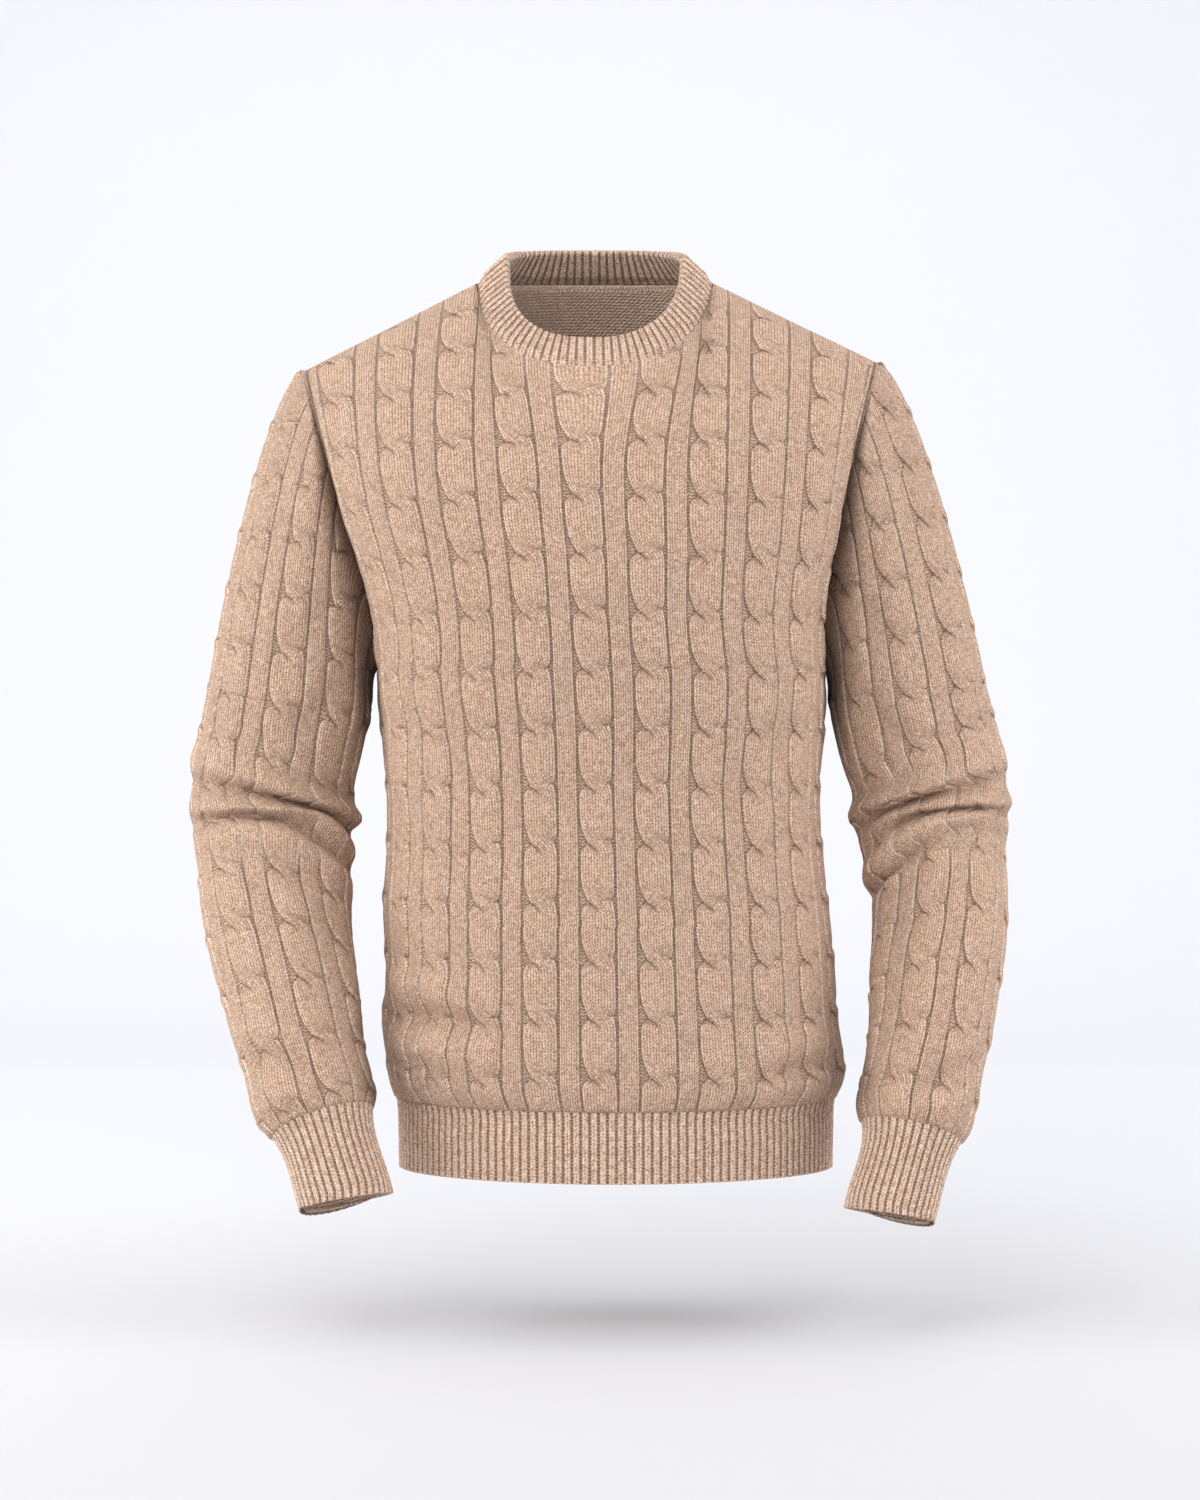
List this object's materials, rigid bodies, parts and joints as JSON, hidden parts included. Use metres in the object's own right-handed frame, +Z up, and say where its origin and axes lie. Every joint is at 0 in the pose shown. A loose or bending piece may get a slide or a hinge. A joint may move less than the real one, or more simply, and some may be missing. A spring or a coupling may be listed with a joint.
{
  "type": "cable knit sweater",
  "caption": "Crew neck cable knit pullover, filled out as if worn, with set-in sleeves and ribbed neckband, cuffs and hem.",
  "frame": {"origin": "middle of the foot of the neck, level with the inner ends of the shoulder seams, where a hanger or a wearer's neck holds the sweater", "axes": "+Z up towards the neck, -Y towards the front, +X towards the wearer's left sleeve"},
  "size_m": [0.6351, 0.2523, 0.7449],
  "materials": {
    "cable_knit": "brushed wool knit, matt with a soft nap",
    "ribbing": "brushed wool rib knit, matt"
  },
  "bodies": {
    "root": {"front": "cable_knit", "back": "cable_knit", "sleeve_left": "cable_knit", "sleeve_right": "cable_knit", "neckband": "ribbing", "hem_rib": "ribbing", "cuff_left": "ribbing", "cuff_right": "ribbing"}
  },
  "joints": []
}
